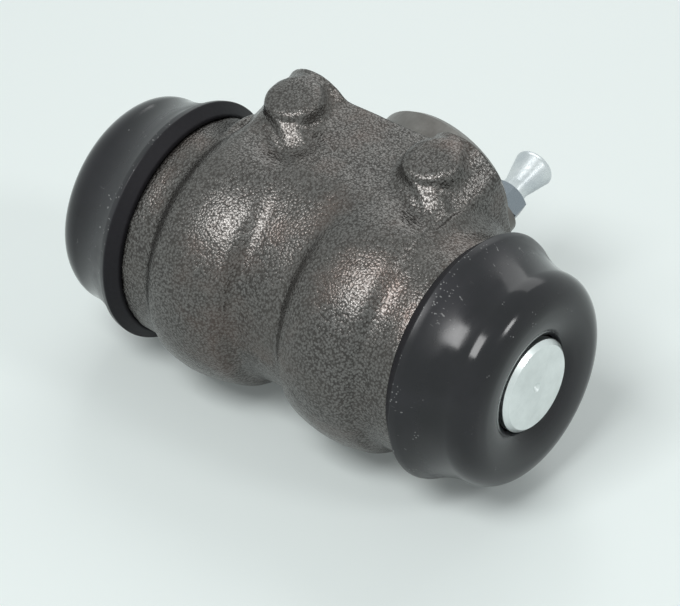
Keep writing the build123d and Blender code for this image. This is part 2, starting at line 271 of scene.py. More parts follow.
turned_metal = metal("turned_metal", dark=(0.66, 0.69, 0.685), light=(0.80, 0.83, 0.825),
                     rough=(0.30, 0.46), stretch=(1.0, 0.25, 0.25), marks=4200.0, depth=8e-6)
pressed_steel = metal("pressed_steel", dark=(0.42, 0.42, 0.42), light=(0.60, 0.60, 0.61),
                      rough=(0.28, 0.45), stretch=(0.2, 1.0, 0.2), marks=3000.0, depth=6e-6)
spring_wire = metal("spring_wire", dark=(0.28, 0.28, 0.30), light=(0.46, 0.46, 0.48),
                    rough=(0.30, 0.45), stretch=(0.3, 1.0, 1.0), marks=4000.0, depth=6e-6)
zinc_plate = metal("zinc_plate", dark=(0.50, 0.53, 0.56), light=(0.70, 0.72, 0.73),
                   rough=(0.22, 0.36), stretch=(1.0, 0.4, 1.0), marks=3200.0, depth=8e-6)
hexagon_end, cone_start = 0.0168, 0.0172
graph = zinc_plate.node_tree
shader = graph.nodes["Principled BSDF"]
height = add(graph, "ShaderNodeSeparateXYZ", {"Vector": where(graph)}).outputs["Y"]
bright = shader.inputs["Base Color"].links[0].from_socket
zinc = mix_color(graph, ramp(graph, height, hexagon_end, cone_start), (0.24, 0.265, 0.295), bright)
graph.links.new(zinc, shader.inputs["Base Color"])

# %% [markdown]
# The cups get a dull rubber of their own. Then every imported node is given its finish. Some of those nodes are
# replaced by a finer piece further on, which takes the same finish.

# %% Finish: cup rubber, and a finish for every node
cup_rubber, graph, shader = new_material("cup_rubber", (0.025, 0.025, 0.026), 0.55)
powder = noise(graph, where(graph), 700.0, detail=4.0)
graph.links.new(ramp(graph, powder, 0.3, 0.7, 0.48, 0.66), shader.inputs["Roughness"])
dusty = mix_color(graph, powder, (0.016, 0.016, 0.017), (0.036, 0.036, 0.037))
graph.links.new(dusty, shader.inputs["Base Color"])
relief(graph, shader, powder, 0.000012)

finish_of = {
    "piston_left": turned_metal,
    "piston_right": turned_metal,
    "cup_seal_left": cup_rubber,
    "cup_seal_right": cup_rubber,
    "cup_expander_left": pressed_steel,
    "cup_expander_right": pressed_steel,
    "bleeder_screw": zinc_plate,
    "cylinder_body": cast_skin,
    "return_spring": spring_wire,
    "dust_boot_left": boot_rubber,
    "dust_boot_right": boot_rubber,
}
for name, finish in finish_of.items():
    mesh = nodes[name].data
    mesh.materials.clear()
    mesh.materials.append(finish)
print("gave", len(finish_of), "nodes a finish")

# %% [markdown]
# ## Helpers for meshes
# Every new piece is built around the origin with its place in its vertices, so that a pattern on object
# coordinates lies the same on all of them. One helper turns lists of points and faces into an object, and
# another turns a profile round an axis, as a lathe would. A third gives the mesh that a modifier makes.


# %% Helpers for meshes
weld = 1e-7


def mesh_object(name, points, faces, finish, smooth=True):
    """A piece from its points and faces, with its normals made to point outwards."""
    mesh = bpy.data.meshes.new(name)
    mesh.from_pydata([tuple(p) for p in points], [], faces)
    work = bmesh.new()
    work.from_mesh(mesh)
    bmesh.ops.remove_doubles(work, verts=work.verts, dist=weld)
    bmesh.ops.recalc_face_normals(work, faces=work.faces)
    for face in work.faces:
        face.smooth = smooth
    work.to_mesh(mesh)
    work.free()
    mesh.materials.append(finish)
    piece = bpy.data.objects.new(name, mesh)
    scene.collection.objects.link(piece)
    return piece


def turned(profile, centre, along, across, steps):
    """Points and faces of a closed profile, given as (distance along, radius), turned about an axis."""
    up = along.cross(across)
    points, faces = [], []
    for step in range(steps):
        angle = 2 * math.pi * step / steps
        out = across * math.cos(angle) + up * math.sin(angle)
        points += [centre + along * a + out * r for a, r in profile]
    count = len(profile)
    for step in range(steps):
        here, there = step * count, (step + 1) % steps * count
        for k in range(count):
            n = (k + 1) % count
            faces.append((here + k, here + n, there + n, there + k))
    return points, faces


def evaluated_mesh(piece, name):
    """The plain mesh that a piece's modifiers make."""
    graph = bpy.context.evaluated_depsgraph_get()
    mesh = bpy.data.meshes.new_from_object(piece.evaluated_get(graph), depsgraph=graph)
    mesh.name = name
    return mesh


# %% [markdown]
# ## The casting
# A solid model has sharp corners where its forms meet. A casting has none: sand won't hold them, and iron
# won't fill them. The pattern maker rounds every corner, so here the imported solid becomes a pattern. Its
# holes are plugged, its machined faces get a little extra stock, a voxel remesh makes one even skin of it,
# and smoothing rounds the corners. After that the faces and holes are cut, as the machine shop does, which
# keeps them crisp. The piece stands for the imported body, and its faces lie where the solid's do.

# %% Casting, step 1: the pattern with its stock and plugs
stock = 0.8 * mm
on_plane = 1e-6
pattern = bmesh.new()
pattern.from_mesh(nodes["cylinder_body"].data)
bmesh.ops.remove_doubles(pattern, verts=pattern.verts, dist=weld)
for vert in pattern.verts:
    if abs(vert.co.y) < on_plane:
        vert.co.y += stock
    if abs(abs(vert.co.x) - body_end) < on_plane:
        vert.co.x += math.copysign(stock, vert.co.x)


def plug(target, centre, along, across, radius, start, end):
    """Adds a closed rod to a mesh, over a hole that has to be filled."""
    profile = [(start, weld), (start, radius), (end, radius), (end, weld)]
    points, faces = turned(profile, centre, along, across, 48)
    verts = [target.verts.new(p) for p in points]
    made = [target.faces.new([verts[k] for k in face]) for face in faces]
    bmesh.ops.recalc_face_normals(target, faces=made)


x_axis, y_axis, z_axis = Vector((1, 0, 0)), Vector((0, 1, 0)), Vector((0, 0, 1))
plug(pattern, bore, x_axis, y_axis, bore_r + 1.2 * mm, -body_end - stock, body_end + stock)
ear_x, ear_z, bolt_depth = 16.6 * mm, 21.2 * mm, 10.5 * mm
bolt_places = [Vector((sx * ear_x, 0.0, sz * ear_z)) for sx in (-1, 1) for sz in (-1, 1)]
for place in bolt_places:
    plug(pattern, place, y_axis, z_axis, 4.2 * mm, -bolt_depth - 0.6 * mm, stock)
pilot_r, pilot_length = 14.7 * mm, 12.1 * mm
plug(pattern, Vector((0, 0, 0)), y_axis, z_axis, pilot_r - 0.8 * mm, -4 * mm, pilot_length - 0.5 * mm)
print("pattern has", len(pattern.faces), "faces")

# %% [markdown]
# The voxel remesh keeps only the outside of everything it is given, so the plugs melt into the solid. The
# smoothing is a weighted average of neighbours: it wears down corners and fills hollows by the same amount,
# about a millimetre here, and leaves flat and round surfaces nearly where they were. On top, the pads, ears
# and web flow into each other in wider curves, so a vertex group smooths those more than the barrel, and the
# tops of the pads less.


# %% Casting, step 2: one even skin, with its corners rounded
def portion(value):
    """A number kept between nought and one."""
    return min(1.0, max(0.0, value))


mesh = bpy.data.meshes.new("casting_blank")
pattern.to_mesh(mesh)
pattern.free()
blank = bpy.data.objects.new("casting_blank", mesh)
scene.collection.objects.link(blank)
remesh = blank.modifiers.new("skin", "REMESH")
remesh.mode = "VOXEL"
remesh.voxel_size = 0.55 * mm
rounding = blank.modifiers.new("rounding", "SMOOTH")
rounding.factor = 0.5
rounding.iterations = 12
blank.data = evaluated_mesh(blank, "casting_blank")
blank.modifiers.clear()
upper = blank.vertex_groups.new(name="upper_forms")
pad_height = 26.5
for vert in blank.data.vertices:
    height = (vert.co.z - bore.z) / mm
    share = portion((height - 15.0) / 6.0) * portion((-vert.co.y / mm) / 3.0)
    share *= 0.3 + 0.7 * portion((pad_height - 1.8 - height) / 1.5)
    upper.add([vert.index], share, "REPLACE")
flowing = blank.modifiers.new("flowing", "SMOOTH")
flowing.factor = 0.5
flowing.iterations = 45
flowing.vertex_group = "upper_forms"
blank.data = evaluated_mesh(blank, "casting_blank")
blank.modifiers.clear()
print("skin has", len(blank.data.polygons), "faces")

# %% [markdown]
# A small buttress runs from the foot of each pad down to the barrel. Its upper side is a slope that catches
# the lamp. A soft edge bounds it, and in front of the edge the skin drops into a dark hollow. A form this
# small is easiest to shape on the finished skin: each point near a pad asks how far it lies along that edge
# and across it, and is raised or sunk by that rule. The pad's own top stays as it is.


# %% Casting, step 3: the buttresses of the pads
def rise(value, low, high):
    """Nought below low, one above high, and a smooth step in between."""
    share = portion((value - low) / (high - low))
    return share * share * (3 - 2 * share)


def band(value, starts, full, until, ends, share=1.0):
    """A share that grows from starts to full, and fades from until to ends."""
    return share * rise(value, starts, full) * rise(-value, -ends, -until)


edge_x, edge_y, run_x, run_y = -0.6, -5.6, 0.86, -0.51


def buttress(x, y, z):
    """How far a point moves up or down, in millimetres, from its place beside the middle of a pad's top."""
    along = (x - edge_x) * run_x + (y - edge_y) * run_y
    across = (x - edge_x) * -run_y + (y - edge_y) * run_x
    slope = -1.2 - 0.30 * x + 0.45 * (y + 5.5)
    upper = band(along, -2.0, 0.0, 3.5, 11.0, share=band(across, -0.35, 0.35, 3.0, 5.5))
    hollow = band(along, 1.5, 6.0, 6.0, 12.0, share=band(across, -5.5, -1.0, -0.8, 0.2))
    highest, lowest, deepest = 2.2, -1.7, 1.1
    return min(highest, max(lowest, slope - z)) * upper - deepest * hollow


settled = blank.vertex_groups.new(name="by_the_pads")
pad_x, pad_y, pad_r = 15.9, -7.1, 5.2
moved = 0
for side in (-1, 1):
    top = Vector((side * pad_x * mm, pad_y * mm, bore.z + pad_height * mm))
    for vert in blank.data.vertices:
        x, y, z = (vert.co - top) / mm
        below_the_top = math.hypot(x, y) > pad_r or z < -1.5
        if abs(x) < 12 and -16 < y < 4 and z > -12 and below_the_top:
            vert.co.z += buttress(x, y, z) * mm
            settled.add([vert.index], 0.45, "REPLACE")
            moved += 1
print("raised or sank", moved, "points by the pads")

# %% [markdown]
# Where the flange's sides meet the round collars, the real casting has a filled corner. Each point there
# moves out from the bore's axis to a curve that starts high at the flange's side and runs out along the
# collar. A few rounds of smoothing then settle all the points that were moved.

# %% Casting, step 4: the filled corners beside the flange
collar_r, fill_height, fill_start, fill_length = 21.35, 3.0, 24.7, 4.8
moved = 0
for vert in blank.data.vertices:
    way = math.degrees(math.atan2(abs(vert.co.z - bore.z), vert.co.y - bore.y))
    end = abs(vert.co.x) / mm
    out = math.hypot(vert.co.y - bore.y, vert.co.z - bore.z) / mm
    fillet = collar_r + fill_height * portion(1 - (end - fill_start) / fill_length) ** 2
    fill = band(way, -5, 25, 55, 82, share=fillet - out)
    if 24.0 < end < 29.5 and 20.8 < out < 24.7 and fill > 0:
        spoke = Vector((0.0, vert.co.y - bore.y, vert.co.z - bore.z)).normalized()
        vert.co += spoke * fill * mm
        moved += 1
    if 23.4 < end < 30.0 and 20.8 < out < 27.5 and -8 < way < 88:
        settled.add([vert.index], 1.0, "REPLACE")
settling = blank.modifiers.new("settling", "SMOOTH")
settling.factor = 0.5
settling.iterations = 10
settling.vertex_group = "by_the_pads"
blank.data = evaluated_mesh(blank, "casting_blank")
blank.modifiers.clear()
print("filled the corners with", moved, "points")

# %% [markdown]
# The skin of a casting isn't quite even: sand shifts, and the pattern was filed by hand. A Geometry Nodes
# tree pushes each point along its normal by a slow noise and a quicker one. It is a rule over the whole
# surface, with its heights and grain sizes as inputs, so the same tree would serve any other casting.


# %% Casting, step 5: an uneven skin by Geometry Nodes
def node_tree(name, inputs):
    """A Geometry Nodes tree with a mesh going in, the named numbers as inputs, and a mesh coming out."""
    tree = bpy.data.node_groups.new(name, "GeometryNodeTree")
    tree.interface.new_socket("Geometry", in_out="INPUT", socket_type="NodeSocketGeometry")
    for label, kind, value in inputs:
        made = tree.interface.new_socket(label, in_out="INPUT", socket_type=kind)
        if value is not None:
            made.default_value = value
    tree.interface.new_socket("Geometry", in_out="OUTPUT", socket_type="NodeSocketGeometry")
    return tree, tree.nodes.new("NodeGroupInput").outputs, tree.nodes.new("NodeGroupOutput").inputs


def run_tree(piece, tree, **values):
    """Gives a piece the tree with its inputs set, and returns the plain mesh that it makes."""
    maker = piece.modifiers.new(tree.name, "NODES")
    maker.node_group = tree
    for item in tree.interface.items_tree:
        if item.in_out == "INPUT" and item.name in values:
            maker[item.identifier] = values[item.name]
    made = evaluated_mesh(piece, tree.name)
    piece.modifiers.clear()
    return made


number, whole = "NodeSocketFloat", "NodeSocketInt"
skin_inputs = [("slow_height", number, 0.0), ("slow_scale", number, 1.0), ("quick_height", number, 0.0)]
skin_inputs += [("quick_scale", number, 1.0), ("seed", number, 0.0), ("finish", "NodeSocketMaterial", None)]
tree, given, made = node_tree("uneven_skin", skin_inputs)
normal = add(tree, "GeometryNodeInputNormal").outputs[0]
lift = None
for height, scale in (("slow_height", "slow_scale"), ("quick_height", "quick_scale")):
    values = {"Scale": given[scale], "W": given["seed"], "Detail": 2.0}
    cloud = add(tree, "ShaderNodeTexNoise", values, noise_dimensions="4D").outputs[0]
    part = sum_of(tree, sum_of(tree, cloud, 0.5, "SUBTRACT"), given[height], "MULTIPLY")
    lift = part if lift is None else sum_of(tree, lift, part)
push = add(tree, "ShaderNodeVectorMath", {0: normal, "Scale": lift}, operation="SCALE").outputs[0]
moved = add(tree, "GeometryNodeSetPosition", {"Geometry": given["Geometry"], "Offset": push}).outputs[0]
solid = add(tree, "GeometryNodeRealizeInstances", {"Geometry": moved}).outputs[0]
painted = add(tree, "GeometryNodeSetMaterial", {"Geometry": solid, "Material": given["finish"]}).outputs[0]
tree.links.new(painted, made[0])
heights = {"slow_height": 0.00045, "slow_scale": 95.0, "quick_height": 0.00022, "quick_scale": 420.0}
blank.data = run_tree(blank, tree, seed=3.0, finish=cast_skin, **heights)
print("uneven skin on", len(blank.data.vertices), "points")

# %% [markdown]
# ## Threads
# A thread is a triangle swept along a helix, so one tree makes every thread here from its radius, pitch,
# number of turns and depth. The Spiral node gives the helix, and Curve to Mesh sweeps the triangle. The
# same tree, with a round section, winds the return spring. A helix that turns about Z is stood up on the
# axis that it needs by one matrix at the end.


# %% Tree: sweep a section along a helix
def sweep_tree(name):
    """Winds a section with the given number of corners into a helix about Z."""
    inputs = [("radius", number, 0.004), ("turns", number, 5.0), ("height", number, 0.005)]
    inputs += [("section", number, 0.0005), ("corners", whole, 3), ("steps", whole, 32)]
    inputs += [("finish", "NodeSocketMaterial", None)]
    tree, given, made = node_tree(name, inputs)
    values = {"Resolution": given["steps"], "Rotations": given["turns"], "Height": given["height"]}
    values |= {"Start Radius": given["radius"], "End Radius": given["radius"]}
    helix = add(tree, "GeometryNodeCurveSpiral", values).outputs[0]
    values = {"Resolution": given["corners"], "Radius": given["section"]}
    section = add(tree, "GeometryNodeCurvePrimitiveCircle", values).outputs["Curve"]
    values = {"Curve": helix, "Profile Curve": section, "Fill Caps": True}
    swept = add(tree, "GeometryNodeCurveToMesh", values).outputs[0]
    solid = add(tree, "GeometryNodeRealizeInstances", {"Geometry": swept}).outputs[0]
    values = {"Geometry": solid, "Material": given["finish"]}
    tree.links.new(add(tree, "GeometryNodeSetMaterial", values).outputs[0], made[0])
    return tree


wind = sweep_tree("wind_a_section")
print("the tree", wind.name, "has", len(wind.nodes), "nodes")


def wound(name, finish, place, axis, smooth=False, **sizes):
    """A helix of the tree's making, stood on its place along an axis. Its height runs along that axis."""
    empty_mesh = bpy.data.meshes.new(name)
    piece = bpy.data.objects.new(name, empty_mesh)
    scene.collection.objects.link(piece)
    piece.data = run_tree(piece, wind, finish=finish, **sizes)
    turn = axis.to_track_quat("Z", "X").to_matrix().to_4x4()
    piece.data.transform(Matrix.Translation(place) @ turn)
    for face in piece.data.polygons:
        face.use_smooth = smooth
    return piece


def joined(pieces):
    """Several plain pieces made one bmesh, which is still to be written to a mesh."""
    work = bmesh.new()
    for piece in pieces:
        work.from_mesh(piece.data)
        bpy.data.objects.remove(piece)
    bmesh.ops.recalc_face_normals(work, faces=work.faces)
    return work


# %% [markdown]
# ## Cutting the casting
# The machine shop now takes off the stock and drills the holes. Each cut is a closed shape that a Boolean
# takes away: a wide disc in front of the mounting face, another off each end of the barrel, the bore with its
# chamfers, and the bolt holes at their outer thread radius. The threads' ridges go in after.


# %% Casting, step 6: the cutters
def cutter(name, profile, centre, along, across, steps=96):
    """A closed turned shape that a Boolean takes away from the casting."""
    points, faces = turned(profile, centre, along, across, steps)
    return mesh_object(name, points, faces, machined_iron, smooth=False)


far = 60 * mm
axis_r = 1e-6
cutters = []
bore_chamfer = 0.8 * mm
edge = bore_r + bore_chamfer
bore_profile = [(-body_end - 2 * stock, axis_r), (-body_end - 2 * stock, edge + 2 * stock), (-body_end, edge)]
bore_profile += [(-body_end + bore_chamfer, bore_r), (body_end - bore_chamfer, bore_r), (body_end, edge)]
bore_profile += [(body_end + 2 * stock, edge + 2 * stock), (body_end + 2 * stock, axis_r)]
cutters.append(cutter("cut_bore", bore_profile, bore, x_axis, y_axis, 160))
for side in (-1, 1):
    flat = [(0.0, axis_r), (0.0, far), (4 * stock, far), (4 * stock, axis_r)]
    cutters.append(cutter("cut_end", flat, bore + x_axis * side * body_end, x_axis * side, y_axis))
back = [(0.0, axis_r), (0.0, far), (far, far), (far, axis_r)]
cutters.append(cutter("cut_face", back, Vector((0, 0, 0)), y_axis, z_axis))
thread_r = 4.0 * mm
for place in bolt_places:
    hole = [(-bolt_depth, axis_r), (-bolt_depth, thread_r), (2 * stock, thread_r), (2 * stock, axis_r)]
    cutters.append(cutter("cut_bolt", hole, place, y_axis, z_axis, 48))
print("made", len(cutters), "cutters")

# %% [markdown]
# A Boolean needs two closed meshes, and works through them one after the other. The pilot is machined all
# over, so it isn't cut from the rough skin: it is turned on its own and united with the flange. So is the
# lobe round the bleeder's hole. The two ports are taken out of both afterwards.


# %% Casting, step 7: cut the faces, and unite the pilot
def boolean(target, tool, operation):
    """Cuts a tool from a target, or unites the two, and takes the tool off the table."""
    cut = target.modifiers.new("cut", "BOOLEAN")
    cut.operation = operation
    cut.solver = "MANIFOLD"
    cut.object = tool
    before = len(target.data.polygons)
    result = evaluated_mesh(target, target.data.name)
    target.modifiers.clear()
    if len(result.polygons) == 0:
        raise SystemExit(f"the Boolean with {tool.name} left nothing")
    target.data = result
    print(operation.lower(), tool.name, before, "->", len(result.polygons))
    bpy.data.objects.remove(tool)


for tool in cutters:
    boolean(blank, tool, "DIFFERENCE")
chamfer, root = 1.2 * mm, -3 * mm
pilot_profile = [(root, axis_r), (root, pilot_r), (pilot_length - chamfer, pilot_r)]
pilot_profile += [(pilot_length, pilot_r - chamfer), (pilot_length, axis_r)]
points, faces = turned(pilot_profile, Vector((0, 0, 0)), y_axis, z_axis, 128)
boolean(blank, mesh_object("pilot", points, faces, machined_iron, smooth=False), "UNION")
lobe_r = 4.9 * mm
lobe_profile = [(root, axis_r), (root, lobe_r), (pilot_length, lobe_r), (pilot_length, axis_r)]
points, faces = turned(lobe_profile, bleed, y_axis, z_axis, 64)
boolean(blank, mesh_object("lobe", points, faces, machined_iron, smooth=False), "UNION")

# %% [markdown]
# Each port is a passage down to the bore with a wider hole above it. The inlet's takes the pipe nut's thread
# and ends in a shallow counterbore. The bleeder's starts with a cone, on which the screw's tip seals.

# %% Casting, step 8: drill the ports
over, floor = pilot_length + 2 * mm, 0.1 * mm
inlet = Vector((-7.6 * mm, 0.0, 0.0))
passage_r, nut_r, counterbore_r = 1.3 * mm, 5.0 * mm, 6.5 * mm
counterbore = pilot_length - 0.8 * mm
port = [(bore.y, axis_r), (bore.y, passage_r), (floor, passage_r), (floor, nut_r), (counterbore, nut_r)]
port += [(counterbore, counterbore_r), (over, counterbore_r), (over, axis_r)]
boolean(blank, cutter("cut_inlet", port, inlet, y_axis, z_axis, 64), "DIFFERENCE")
passage_r, seat_r, screw_r = 1.1 * mm, 3.0 * mm, 3.55 * mm
port = [(bore.y, axis_r), (bore.y, passage_r), (-1.8 * mm, passage_r), (floor, seat_r), (floor, screw_r)]
port += [(over, screw_r), (over, axis_r)]
boolean(blank, cutter("cut_bleed", port, bleed, y_axis, z_axis, 64), "DIFFERENCE")

# %% [markdown]
# The Booleans leave slivers far too small to see, on the axes where the cutters' poles were and along the
# cuts. Points closer than four thousandths of a millimetre become one, which closes the slivers up, and what
# then hangs loose from the casting is deleted.


# %% Casting, step 9: clean up after the cuts
def islands(mesh):
    """The groups of faces that hang together, each as a list, in the order of the mesh's faces."""
    met, groups = set(), []
    for first in mesh.faces:
        if first in met:
            continue
        met.add(first)
        group = [first]
        for face in group:
            for near in (near for edge in face.edges for near in edge.link_faces):
                if near not in met:
                    met.add(near)
                    group.append(near)
        groups.append(group)
    return groups


one_point, no_length, crumb = 4e-6, 2e-6, 200
work = bmesh.new()
work.from_mesh(blank.data)
before = len(work.faces)
bmesh.ops.remove_doubles(work, verts=work.verts, dist=one_point)
bmesh.ops.dissolve_degenerate(work, edges=work.edges, dist=no_length)
loose = [face for group in islands(work) if len(group) < crumb for face in group]
bmesh.ops.delete(work, geom=loose, context="FACES")
bmesh.ops.delete(work, geom=[edge for edge in work.edges if not edge.link_faces], context="EDGES")
bmesh.ops.delete(work, geom=[vert for vert in work.verts if not vert.link_faces], context="VERTS")
print("cleaned", before, "->", len(work.faces), "faces")
print("edges without two faces:", sum(len(edge.link_faces) != 2 for edge in work.edges))
work.to_mesh(blank.data)
work.free()

# %% [markdown]
# What the tools touched has to look cut and not cast. Each face is asked where it lies: on the mounting
# plane, on an end plane, on the bore's radius, or beyond the mounting face, where all is machined.

# %% Casting, step 10: cast skin here, machined iron there
casting = blank
casting.name = casting.data.name = "casting"
casting.data.materials.clear()
casting.data.materials.append(cast_skin)
casting.data.materials.append(machined_iron)
hair, straight = 1e-5, 0.99
chamfer_reach, port_reach = 0.85 * mm, 5.05 * mm


def is_cut(middle, normal):
    """Whether a face was machined, from where it lies and which way it looks."""
    out = math.hypot(middle.y - bore.y, middle.z - bore.z)
    if middle.y > hair or (middle.y > -hair and normal.y > straight):
        return True
    if abs(abs(middle.x) - body_end) < hair and abs(normal.x) > straight:
        return True
    if out < bore_r + chamfer_reach:
        return True
    near_bolt = min(math.hypot(middle.x - p.x, middle.z - p.z) for p in bolt_places)
    near_port = min(math.hypot(middle.x - p.x, middle.z - p.z) for p in (inlet, bleed))
    in_bolt_hole = near_bolt < thread_r + hair and middle.y > -bolt_depth - hair
    return in_bolt_hole or (near_port < port_reach and middle.y > bore.y)


cut_faces = 0
for face in casting.data.polygons:
    cut = is_cut(face.center, face.normal)
    face.material_index = 1 if cut else 0
    face.use_smooth = not cut
    cut_faces += cut
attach(casting, "housing")
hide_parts("cylinder_body")
print("casting:", len(casting.data.polygons), "faces,", cut_faces, "of them machined")

# %% [markdown]
# The ridges of the bolt threads, M8 with a pitch of 1.25 mm, and of the inlet's fine M10 thread are wound
# with the tree above. They stand in the drilled holes with their tips at the core radius of the solid.

# %% Threads in the bolt holes and the inlet
ridges = []
sizes = {"radius": 3.78 * mm, "section": 0.40 * mm, "corners": 3}
sizes |= {"steps": 30, "turns": 7.0, "height": 8.75 * mm}
for place in bolt_places:
    ridges.append(wound("ridge", machined_iron, place + y_axis * -9.4 * mm, y_axis, **sizes))
sizes = {"radius": 4.82 * mm, "section": 0.34 * mm, "corners": 3}
sizes |= {"steps": 40, "turns": 9.0, "height": 9.0 * mm}
ridges.append(wound("ridge", machined_iron, inlet + y_axis * 1.2 * mm, y_axis, **sizes))
work = joined(ridges)
mesh = bpy.data.meshes.new("port_threads")
work.to_mesh(mesh)
work.free()
mesh.materials.append(machined_iron)
port_threads = bpy.data.objects.new("port_threads", mesh)
scene.collection.objects.link(port_threads)
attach(port_threads, "housing")
print("threads in the casting:", len(port_threads.data.polygons), "faces")

# %% [markdown]
# The bleeder screw has a thread of its own, which turns with it.

# %% Thread on the bleeder screw
sizes = {"radius": 3.02 * mm, "section": 0.40 * mm, "corners": 3}
sizes |= {"steps": 32, "turns": 9.0, "height": 9.0 * mm}
screw_thread = wound("screw_thread", zinc_plate, bleed + y_axis * 1.6 * mm, y_axis, **sizes)
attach(screw_thread, "bleeder")
print("thread on the screw:", len(screw_thread.data.polygons), "faces")

# %% [markdown]
# ## The dust boots
# A boot is a turned shape in rubber: a bevelled mouth, a rim, a neck that narrows, and a roll that tucks in
# round the piston's nose. It has to stretch when the piston moves, so it is made in one piece. Its section is
# drawn here in millimetres, as distance along the bore and distance from it: arcs where the mould has a
# radius, and smooth curves between them.


# %% Section of a dust boot
def arc(centre, radius, start, end, steps):
    """Points on an arc, as (distance along, radius), with its angles in degrees."""
    angles = [math.radians(start + (end - start) * k / steps) for k in range(steps + 1)]
    return [(centre[0] + radius * math.cos(a), centre[1] + radius * math.sin(a)) for a in angles]


def curve_between(first, middle, last, steps):
    """Points on a smooth curve that starts towards the middle point and arrives from it."""
    points = []
    for k in range(steps + 1):
        t = k / steps
        start, bend, end = (1 - t) ** 2, 2 * t * (1 - t), t * t
        points.append(tuple(start * a + bend * b + end * c for a, b, c in zip(first, middle, last)))
    return points


roll, roll_r, wall = (43.4, 15.3), 5.2, 1.9
inner_r = roll_r - wall
boot_profile = [(30.9, 21.4), (31.5, 21.96), (32.4, 22.80), (33.0, 23.36)]
boot_profile += arc((33.45, 23.2), 0.45, 135, 60, 5)
boot_profile += curve_between((34.3, 23.46), (39.0, 20.45), (43.4, 20.5), 22)
boot_profile += arc(roll, roll_r, 88, 2, 24)
boot_profile += curve_between((48.6, 15.3), (48.6, 10.9), (46.2, 9.25), 12)
boot_profile += [(45.75, 9.25), (45.75, 7.85), (43.25, 7.85), (43.25, 10.15)]
boot_profile += curve_between((43.25, 10.15), (46.7, 12.2), (46.7, 15.3), 10)[1:]
boot_profile += arc(roll, inner_r, 4, 90, 12)
boot_profile += curve_between((43.4, 18.6), (39.2, 18.6), (36.0, 20.3), 10)[1:]
boot_profile += [(33.65, 20.3), (33.65, 21.4), (32.85, 21.4), (32.85, 20.1), (31.45, 20.1), (31.45, 21.4)]
print("section of a boot:", len(boot_profile), "points")

# %% [markdown]
# Moulded rubber is never perfectly round, so the turned points then shift by a tenth of a millimetre in slow
# waves, which makes the reflections wander as they do on the real one. The mouth and the lip stay round. The
# faces inside the mouth get the rough finish of the core.

# %% Dust boots
drawn_body_end, drawn_rim_end = 33.6, 33.9
mouth_depth, mouth_r = 0.25 * mm, 23.62 * mm
shift = body_end / mm - drawn_body_end
boots = {}
for side, name in ((-1, "left"), (1, "right")):
    profile = [((a + shift) * mm, r * mm) for a, r in boot_profile]
    points, faces = turned(profile, bore, x_axis * side, y_axis, 180)
    boot = mesh_object(f"boot_{name}", points, faces, boot_rubber)
    for vert in boot.data.vertices:
        spoke = Vector((0.0, vert.co.y - bore.y, vert.co.z - bore.z))
        turn = math.atan2(spoke.z, spoke.y)
        along = abs(vert.co.x) / mm
        free = portion((spoke.length / mm - 16.5) / 4.0) * (along > drawn_rim_end)
        wave = 0.06 * math.sin(3 * turn + side + along * 0.12)
        wave += 0.04 * math.sin(7 * turn + 2.0 * side - along * 0.2)
        vert.co += spoke.normalized() * wave * free * mm
    boot.data.materials.append(mouth_rubber)
    for face in boot.data.polygons:
        reach = math.hypot(face.center.y - bore.y, face.center.z - bore.z)
        in_mouth = abs(face.center.x) < body_end - mouth_depth and reach < mouth_r
        face.material_index = 1 if in_mouth else 0
    boots[name] = boot
    print(boot.name, len(boot.data.polygons), "faces")

# %% [markdown]
# Each boot keeps its place in its own points, and the imported boot is hidden.

# %% Boots in their place
held_until, carried_from = 1.0 * mm, 9.6 * mm
for side, name in ((-1, "left"), (1, "right")):
    boot = boots[name]
    end = Vector((side * (body_end + carried_from), bore.y, bore.z))
    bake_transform(boot)
    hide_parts(f"dust_boot_{name}")
print("blended", sorted(boots))

# %% [markdown]
# ## The return spring
# The spring pushes both pistons outwards. The tree that winds the threads winds it too, this time with a
# round section, as two halves that meet in the middle.

# %% Return spring
spring_end = 14.45 * mm
sizes = {"radius": 8.5 * mm, "section": 0.65 * mm, "corners": 14}
sizes |= {"steps": 48, "turns": 2.75, "height": spring_end}
for side, name in ((-1, "left"), (1, "right")):
    half = wound(f"spring_{name}", spring_wire, bore, x_axis * side, smooth=True, **sizes)
    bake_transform(half)
    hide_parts("return_spring")
    print(half.name, len(half.data.polygons), "faces")

# %% [markdown]
# ## The studio
# The cylinder lies on a pale table, tipped back by fifteen degrees so that it rests on both boots and on the
# lower ears. The table is therefore tilted in the part's own frame. Its underside is clear, so that it never
# hides the part from a low camera. The real table is evenly pale and its shadows are faint, because light
# came through it too. So the camera, and any mirror, sees a part of it as a plain pale glow over its colour.
# That part grows with the distance from the cylinder, until the table runs into the pale backdrop.


# %% Finish: the table
def seen_ray(graph):
    """One for a ray that the camera, a mirror or a pane of glass looks along, nought for a ray of light."""
    paths = add(graph, "ShaderNodeLightPath").outputs
    mirrored = sum_of(graph, paths["Is Glossy Ray"], paths["Is Transmission Ray"], "MAXIMUM")
    return sum_of(graph, paths["Is Camera Ray"], mirrored, "MAXIMUM")


